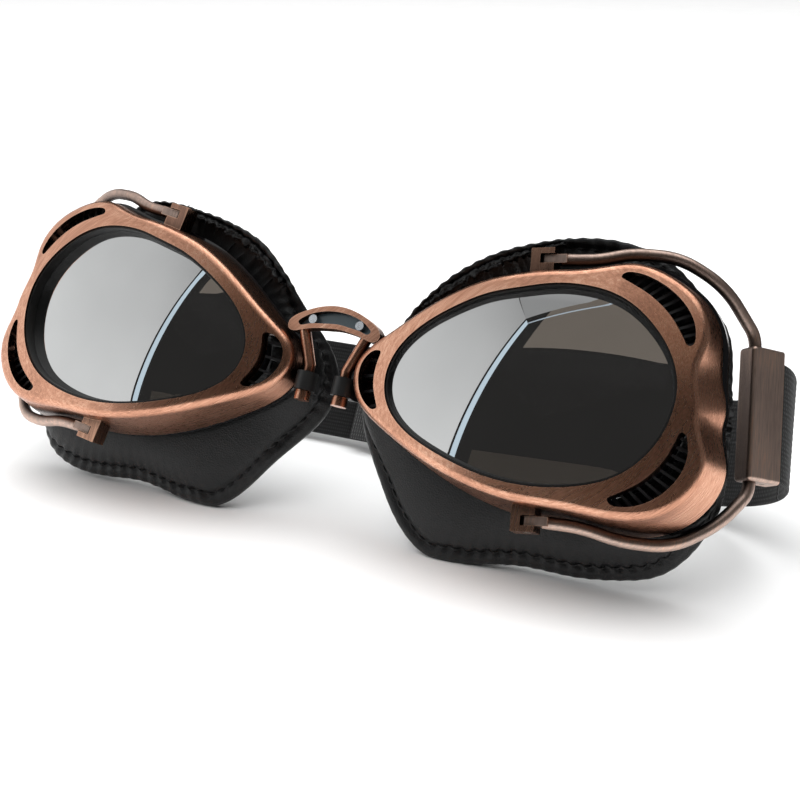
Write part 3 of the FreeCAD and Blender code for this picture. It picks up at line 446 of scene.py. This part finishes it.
# Leather cushions
def section_loops(node):
    """The node's section at each station round the cup: (radius, depth) points in order round the section."""
    points = cup_points(node)
    edges = np.array([edge.vertices[:] for edge in NODES[node].data.edges])
    loops = []
    for angle in np.arange(STATIONS) * 2 * math.pi / STATIONS:
        beside = points[:, 2] * math.cos(angle) - points[:, 0] * math.sin(angle)
        along = points[:, 0] * math.cos(angle) + points[:, 2] * math.sin(angle)
        first, last = edges[:, 0], edges[:, 1]
        crossing = (beside[first] > 0) != (beside[last] > 0)
        first, last = first[crossing], last[crossing]
        share = beside[first] / (beside[first] - beside[last])
        radius = along[first] + share * (along[last] - along[first])
        depth = points[first, 1] + share * (points[last, 1] - points[first, 1])
        loop = np.stack([radius, depth], axis=1)[radius > 0]
        middle = (loop.min(0) + loop.max(0)) / 2
        order = np.argsort(np.arctan2(loop[:, 1] - middle[1], loop[:, 0] - middle[0]))
        loops.append(loop[order])
    return loops


def walk(loop, start, distances):
    """Points at distances along a closed loop from one of its points."""
    turned = np.roll(loop, -start, axis=0)
    closed = np.vstack([turned, turned[:1]])
    lengths = np.concatenate([[0.0], np.cumsum(np.linalg.norm(np.diff(closed, axis=0), axis=1))])
    wanted = np.mod(distances, lengths[-1])
    return np.stack([np.interp(wanted, lengths, closed[:, axis]) for axis in (0, 1)], axis=1), lengths[-1]


def cushion_grid():
    """Rows of sections, each from the cushion's lip over the back, the eye side, the front and the skirt."""
    rows = []
    hem = np.arange(HEM_STEPS) * HEM_STEP
    for loop in section_loops("right_cushion"):
        lip = int(np.argmax(loop[:, 0] + LIP_LEAN * loop[:, 1]))
        _, length = walk(loop, lip, hem)
        rest = np.linspace(hem[-1], length - hem[-1], REST_STEPS + 2)[1:-1]
        distances = np.concatenate([hem, rest, length - hem[:0:-1]])
        rows.append(walk(loop, lip, distances)[0])
    return smooth_round(np.array(rows), ROW_BLUR)


def eased(sections, side):
    """Sections with their lip moved out or in, and the rest following less and less."""
    angles, moves = np.array(EASES[side], float).T
    stations = np.arange(STATIONS) * 360.0 / STATIONS
    move = smooth_round(np.interp(stations, angles, moves, period=360), EASE_BLUR) * MM
    low = sections[..., 0].min(axis=1, keepdims=True)
    high = sections[..., 0].max(axis=1, keepdims=True)
    share = (sections[..., 0] - low) / (high - low)
    moved = sections.copy()
    moved[..., 0] += move[:, None] * share ** 2
    return moved


def placed(sections):
    """Sections of (radius, depth) as points of the right eyecup."""
    angles = np.arange(STATIONS) * 2 * math.pi / STATIONS
    across = sections[..., 0] * np.cos(angles)[:, None]
    upward = sections[..., 0] * np.sin(angles)[:, None]
    local = np.stack([across, sections[..., 1], upward], axis=2)
    return local @ CUP_AXES + np.array(CUP)


def grid_normals(points):
    """Outward normals over a grid that closes both ways, and whether the grid's own face inward."""
    along = np.roll(points, -1, axis=0) - np.roll(points, 1, axis=0)
    across = np.roll(points, -1, axis=1) - np.roll(points, 1, axis=1)
    normals = np.cross(along, across)
    normals /= np.maximum(np.linalg.norm(normals, axis=2, keepdims=True), TINY)
    centre = points.mean(axis=1, keepdims=True)
    outward = np.sign(((points - centre) * normals).sum(axis=2).mean())
    return normals * outward, outward < 0


def sewn(points, normals):
    """The cushion with its row of stitches drawn in, its hem rolled and the leather gathered between them."""
    columns = points.shape[1]
    seam = columns - round(STITCH_REACH / HEM_STEP)
    line = points[:, seam]
    steps = np.linalg.norm(np.roll(line, -1, axis=0) - line, axis=1)
    stitches = round(steps.sum() / STITCH_PITCH)
    phase = np.concatenate([[0.0], np.cumsum(steps)[:-1]]) / steps.sum() * stitches
    stations = np.arange(STATIONS) * 360.0 / STATIONS
    ends = np.array([WELT_ANGLES[0] - WELT_FADE, *WELT_ANGLES, WELT_ANGLES[1] + WELT_FADE])
    full = np.interp(stations, ends, [1.0, PLAIN_SHARE, PLAIN_SHARE, 1.0])[:, None]
    gather = (0.5 - 0.5 * np.cos(2 * math.pi * phase))[:, None]
    spans = np.linalg.norm(np.diff(points, axis=1, append=points[:, :1]), axis=2)
    reach = np.cumsum(spans, axis=1) - spans
    toward_lip = reach - reach[:, seam:seam + 1]
    groove = np.exp(-(toward_lip / GROOVE_WIDTH) ** 2)
    hem = np.where(toward_lip > 0, np.sin(np.clip(toward_lip / STITCH_REACH, 0, 1) * math.pi), 0.0)
    skirt = np.where(toward_lip < 0, np.exp(toward_lip / SKIRT_FADE), 0.0)
    lift = -(GROOVE_DEPTH + STITCH_DEPTH * full * (1 - gather)) * groove
    lift += HEM_RISE * hem * (1 - full * HEM_GATHER_SHARE * (1 - gather))
    lift += SKIRT_GATHER * full * skirt * (gather - 0.5) - SETTLE
    moved = points + normals * lift[..., None]
    return moved, seam, phase, stitches


def between(wanted, places, rows):
    """Rows of three numbers read at wanted places along them."""
    return np.stack([np.interp(wanted, places, rows[:, axis]) for axis in range(3)], axis=1)


def stitch_tubes(line, normals, phase, stitches):
    """Short lengths of thread lying in the row of stitches."""
    closed_phase = np.append(phase, stitches)
    closed_line = np.vstack([line, line[:1]])
    closed_normals = np.vstack([normals, normals[:1]])
    points, faces = [], []
    for stitch in range(stitches):
        shares = np.linspace(-THREAD_SHARE / 2, THREAD_SHARE / 2, THREAD_RINGS)
        wanted = stitch + 0.5 + shares
        middle = between(wanted, closed_phase, closed_line)
        normal = between(wanted, closed_phase, closed_normals)
        normal /= np.linalg.norm(normal, axis=1, keepdims=True)
        bow = np.cos(shares / THREAD_SHARE * math.pi)[:, None]
        middle = middle + normal * (bow * THREAD_BOW_SHARE - THREAD_SINK_SHARE) * THREAD_RADIUS
        ahead = np.gradient(middle, axis=0)
        ahead /= np.linalg.norm(ahead, axis=1, keepdims=True)
        beside = np.cross(ahead, normal)
        start = len(points)
        for turn in range(THREAD_SIDES):
            angle = 2 * math.pi * turn / THREAD_SIDES
            ring = middle + (normal * math.cos(angle) + beside * math.sin(angle)) * THREAD_RADIUS
            points.extend(ring)
        tube = grid_faces(THREAD_SIDES, THREAD_RINGS, True, False)
        faces.extend([[start + index for index in quad] for quad in tube])
        first = [start + turn * THREAD_RINGS for turn in range(THREAD_SIDES)]
        faces.append(first)
        faces.append([index + THREAD_RINGS - 1 for index in reversed(first)])
    return np.array(points), faces


def make_cushions():
    sections = cushion_grid()
    for side, sign in SIDES.items():
        plain = placed(eased(sections, side))
        normals, inward = grid_normals(plain)
        points, seam, phase, stitches = sewn(plain, normals)
        threads, thread_faces = stitch_tubes(points[:, seam], normals[:, seam], phase, stitches)
        points[..., 2] = np.maximum(points[..., 2], 0.0)
        mirror = np.array([sign, 1, 1])
        faces = grid_faces(STATIONS, points.shape[1], True, True, flip=(sign > 0) == inward)
        cushion = mesh_object(side + "_leather_cushion", points.reshape(-1, 3) * mirror, faces, LEATHER)
        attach(cushion, side + "_eyecup")
        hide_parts(side + "_cushion")
        if sign < 0:
            thread_faces = [face[::-1] for face in thread_faces]
        stitching = mesh_object(side + "_stitching", threads * mirror, thread_faces, THREAD)
        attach(stitching, side + "_eyecup")


# Strap
BAR = Vector(MOUNTS["right_strap_slot"]["pos_m"])
ALONG = Vector(MOUNTS["right_strap_slot"]["axis"]).normalized()
BAND = -Vector(JOINTS["right_bail_swing"]["axis"]).normalized()
INWARD = BAND.cross(ALONG)
PIN = BAR + ALONG * PIN_OFFSET


def flat(point):
    """A place along the goggles' own directions, from the middle of the bridge."""
    offset = point - MIDDLE
    return Vector((offset.dot(RIGHT), offset.dot(BACK), offset.dot(UP)))


def leaned(point):
    return MIDDLE + RIGHT * point.x + BACK * point.y + UP * point.z


def strap_path(layer):
    """Centres and band directions of half the strap, from its tail round the bracket's pin to the back."""
    middle = PIN_RADIUS + LOOP_GAP + STRAP_THICKNESS / 2
    tail = TAIL_SHARE * (BRACKET_MOUTH - PIN_OFFSET)
    path = [(PIN + ALONG * tail - INWARD * middle, BAND)]
    for step in range(LOOP_STEPS + 1):
        turn = -math.pi / 2 - math.pi * step / LOOP_STEPS
        path.append((PIN + (ALONG * math.cos(turn) + INWARD * math.sin(turn)) * middle, BAND))
    leave = flat(BAR + ALONG * (BRACKET_MOUTH + STRAP_THICKNESS) + INWARD * middle)
    path.append((leaned(leave), BAND))
    heading = math.atan2(ALONG.dot(BACK), ALONG.dot(RIGHT))
    hub = Vector((leave.x - math.sin(heading) * TURN_RADIUS, leave.y + math.cos(heading) * TURN_RADIUS, 0))
    bar_points = [vertex.co for vertex in NODES["slider_bar"].data.vertices]
    rear = flat(sum(bar_points, Vector()) / len(bar_points))
    depth = rear.y + (layer - 0.5) * LAYER_STEP
    sweep = depth - hub.y
    plan = []
    for step in range(1, TURN_STEPS + 1):
        turn = (heading - math.pi / 2) * (1 - step / TURN_STEPS)
        plan.append(hub + Vector((math.cos(turn), math.sin(turn), 0)) * TURN_RADIUS)
    for step in range(1, ARC_STEPS + 1):
        turn = math.pi / 2 * step / ARC_STEPS
        plan.append(hub + Vector((TURN_RADIUS - sweep * (1 - math.cos(turn)), math.sin(turn) * sweep, 0)))
    split = len(path) + TURN_STEPS + SPLIT_STEP
    for step, point in enumerate(plan, 1):
        along = step / len(plan)
        share = along * along * (3 - 2 * along)
        point.z = leave.z + (rear.z - leave.z) * share
        path.append((leaned(point), BAND.lerp(UP, share).normalized()))
    lap = Vector((-STRAP_LAP, depth, rear.z))
    path.append((leaned(lap), UP))
    return path, split


def band_section():
    """Half the band's outline: places across it and heights off its middle, ribbed along its length."""
    across = np.linspace(-1, 1, RIBS * RIB_STEPS + 1)
    ribs = np.abs(np.sin((across + 1) / 2 * RIBS * math.pi))
    edge = np.sqrt(np.clip(1 - np.abs(across) ** BAND_EDGE_POWER, 0, 1))
    thickness = STRAP_THICKNESS / 2 - RIB_HEIGHT * (1 - ribs)
    height = thickness * (BAND_EDGE_SHARE + (1 - BAND_EDGE_SHARE) * edge)
    return across * STRAP_WIDTH / 2, height


def band_piece(name, stations, sign):
    """A length of the woven band through stations of centre, band direction and tangent."""
    across, height = band_section()
    places = np.concatenate([across, across[::-1]])
    heights = np.concatenate([height, -height[::-1]])
    rows = []
    lengths = [0.0]
    for index, (centre, band, ahead) in enumerate(stations):
        through = ahead.cross(band).normalized()
        rows.append([centre + band * place + through * rise for place, rise in zip(places, heights)])
        if index:
            lengths.append(lengths[-1] + (centre - stations[index - 1][0]).length)
    columns = len(places)
    points = np.array(rows).reshape(-1, 3) * np.array([sign, 1, 1])
    faces = grid_faces(len(rows), columns, False, True, flip=sign > 0)
    first = list(range(columns))
    last = [(len(rows) - 1) * columns + index for index in first]
    ends = (first, last[::-1]) if sign > 0 else (first[::-1], last)
    faces.extend(ends)
    piece = mesh_object(name, points, faces, WEBBING)
    layer = piece.data.uv_layers.new(name="band")
    for loop in piece.data.loops:
        row, column = divmod(loop.vertex_index, columns)
        layer.data[loop.index].uv = (lengths[row], places[column])
    return piece


def make_straps():
    for layer, (side, sign) in enumerate(SIDES.items()):
        path, split = strap_path(layer)
        stations = []
        for index, (centre, band) in enumerate(path):
            before = path[max(index - 1, 0)][0]
            after = path[min(index + 1, len(path) - 1)][0]
            stations.append((centre, band, (after - before).normalized()))
        mouth = BAR + ALONG * BRACKET_MOUTH
        meeting = path[split][0]
        rear = path[-2][0]
        front = band_piece(side + "_strap_front", stations[:split + 1], sign)
        back = band_piece(side + "_strap_back", stations[split:], sign)
        aim = meeting - mouth
        aim -= UP * aim.dot(UP)
        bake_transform(front)
        turn = rear - meeting
        turn -= UP * turn.dot(UP)
        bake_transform(back)
        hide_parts("strap_" + side)


# Studio: a white tent to the left and overhead, its bright edges, and a darker room in front
ROOF = 1.0
TENT_FRONT = Vector((-0.42, -0.62, 0))
TENT_BACK = Vector((-0.80, 0.45, 0))
TENT_RIGHT = Vector((0.6, -0.205, 0))
ROOF_BACK_RIGHT = Vector((0.6, 0.6, 0))
ROOF_BACK_LEFT = Vector((-0.8, 0.6, 0))
POLE_GAP = 0.011
POLE_WIDTH = 0.028
ROOF_LIP = Vector((0.012, -0.028, 0))
ROOF_LIP_SHARE = 1.25
ROOM_ENDS = (Vector((-0.41, -0.78, 0)), Vector((0.8, -0.78, 0)))
ROOM_TOP_LOWS = (0.93, 1.06)
ROOM_TOP_HIGHS = (2.2, 2.2)
ROOM_TABLE_HIGHS = (0.30, 0.36)
RIGHT_SIDE_ENDS = (Vector((0.9, -0.4, 0)), Vector((0.9, 0.6, 0)))
RIGHT_SIDE_HIGHS = (0.9, 0.9)
FLAG_ENDS = (Vector((0.10, 0.04, 0)), Vector((0.34, 0.16, 0)))
FLAG_HIGHS = (0.075, 0.075)
ON_FLOOR = (0.0, 0.0)
WHITE = (0.97, 0.985, 0.985)
POLE_BLUE = (0.66, 0.80, 0.90)
LIP_BLUE = (0.75, 0.88, 1.0)
BROWN = (1.0, 0.87, 0.74)
FLOOR_REACH = 4.0
FLOOR_DARK = (0.90, 0.90, 0.90)
FLOOR_PALE = (0.92, 0.92, 0.92)
LAMP_PLACE = Vector((-0.3, -0.2, 3.0))
LAMP_SIDE = 6.0
LAMP_POWER = 250.0
WORLD_COLOUR = (1.0, 0.97, 0.94, 1.0)
WORLD_STRENGTH = 0.036


def glowing(name, colour, strength, axis=None, far_strength=None, reach=None):
    """A panel that gives light, even or changing along an axis."""
    emission = {"Emission_Color": (*colour, 1), "Emission_Strength": strength}
    finish = Finish(name, Base_Color=(0, 0, 0, 1), Roughness=1.0, **emission)
    if axis:
        position = finish.node("ShaderNodeNewGeometry").outputs["Position"]
        split = finish.node("ShaderNodeSeparateXYZ", Vector=position)
        finish.feed("Emission Strength", finish.spread(split.outputs[axis], strength, far_strength, reach))
    return finish.material


def card(name, corners, material):
    """A stage panel that shows only in reflections and as light."""
    made = mesh_object(name, corners, [tuple(range(len(corners)))], material)
    made.visible_camera = False
    made.visible_shadow = False
    return made


def upright(ends, lows, highs):
    """Corners of a panel that stands on a line, from its low and high edges at both ends."""
    first, last = ends
    corners = ((first, lows[0]), (last, lows[1]), (last, highs[1]), (first, highs[0]))
    return [Vector((*end.xy, height)) for end, height in corners]


def overhead(corners):
    return [Vector((*corner.xy, ROOF)) for corner in corners]


def make_cards():
    tent = (ROOF, ROOF)
    wall = upright((TENT_FRONT, TENT_BACK), ON_FLOOR, tent)
    card("left_wall", wall, glowing("left_wall", WHITE, 1.2, "Z", 0.55, (0.0, ROOF)))
    outward = (TENT_FRONT - TENT_BACK).normalized()
    pole = TENT_FRONT + outward * POLE_GAP
    pole_end = pole + outward * POLE_WIDTH
    card("tent_pole", upright((pole, pole_end), ON_FLOOR, tent), glowing("bright_edge", POLE_BLUE, 1.3))
    roof = overhead((TENT_FRONT, TENT_RIGHT, ROOF_BACK_RIGHT, ROOF_BACK_LEFT))
    card("roof", roof, glowing("roof", WHITE, 0.45, "Y", 2.4, (-0.5, 0.3)))
    lip_end = ROOF_LIP * ROOF_LIP_SHARE
    near = (TENT_FRONT + ROOF_LIP, TENT_RIGHT + ROOF_LIP)
    far = (TENT_RIGHT + lip_end, TENT_FRONT + lip_end)
    edge = overhead(near + far)
    card("roof_edge", edge, glowing("roof_edge", LIP_BLUE, 0.8))
    card("room_top", upright(ROOM_ENDS, ROOM_TOP_LOWS, ROOM_TOP_HIGHS), glowing("room_top", BROWN, 0.24))
    card("room_table", upright(ROOM_ENDS, ON_FLOOR, ROOM_TABLE_HIGHS), glowing("room_table", BROWN, 0.06))
    side = upright(RIGHT_SIDE_ENDS, ON_FLOOR, RIGHT_SIDE_HIGHS)
    card("right_side", side, glowing("right_side", WHITE, 0.12))
    flag = card("dark_flag", upright(FLAG_ENDS, ON_FLOOR, FLAG_HIGHS), glowing("dark_flag", WHITE, 0.0))
    flag.visible_diffuse = False


def floor_material():
    finish = Finish("white_floor", Roughness=0.9, Specular_IOR_Level=0.1)
    grain = finish.noise((FLOOR_PATCH,) * 3, detail=2.0)
    finish.feed("Base Color", finish.ramp(grain, [(0.3, FLOOR_DARK), (0.7, FLOOR_PALE)]))
    return finish.material


def make_floor():
    reach = FLOOR_REACH
    corners = [(-reach, -reach, 0), (reach, -reach, 0), (reach, reach, 0), (-reach, reach, 0)]
    mesh_object("floor", corners, [(0, 1, 2, 3)], floor_material())


def make_lamp():
    """A broad soft light overhead that shows in no reflection."""
    data = bpy.data.lights.new("overhead", "AREA")
    data.shape = "SQUARE"
    data.size = LAMP_SIDE
    data.energy = LAMP_POWER
    lamp = bpy.data.objects.new("overhead", data)
    lamp.location = LAMP_PLACE
    lamp.rotation_mode = "QUATERNION"
    lamp.rotation_quaternion = (-LAMP_PLACE).to_track_quat("-Z", "Y")
    lamp.visible_glossy = False
    bpy.context.scene.collection.objects.link(lamp)


def make_studio():
    make_floor()
    make_cards()
    make_lamp()
    world = bpy.data.worlds.new("studio")
    world.use_nodes = True
    background = world.node_tree.nodes["Background"]
    background.inputs["Color"].default_value = WORLD_COLOUR
    background.inputs["Strength"].default_value = WORLD_STRENGTH
    bpy.context.scene.world = world
    bpy.context.scene.view_settings.view_transform = "Standard"


def make_camera():
    data = bpy.data.cameras.new("camera")
    data.lens = CAMERA_LENS
    data.sensor_width = CAMERA_SENSOR
    camera = bpy.data.objects.new("camera", data)
    camera.location = CAMERA_PLACE
    camera.rotation_mode = "QUATERNION"
    camera.rotation_quaternion = CAMERA_AIM.to_track_quat("-Z", "Y")
    bpy.context.scene.collection.objects.link(camera)
    bpy.context.scene.camera = camera


dress_nodes()
make_cushions()
make_straps()
make_studio()
make_camera()
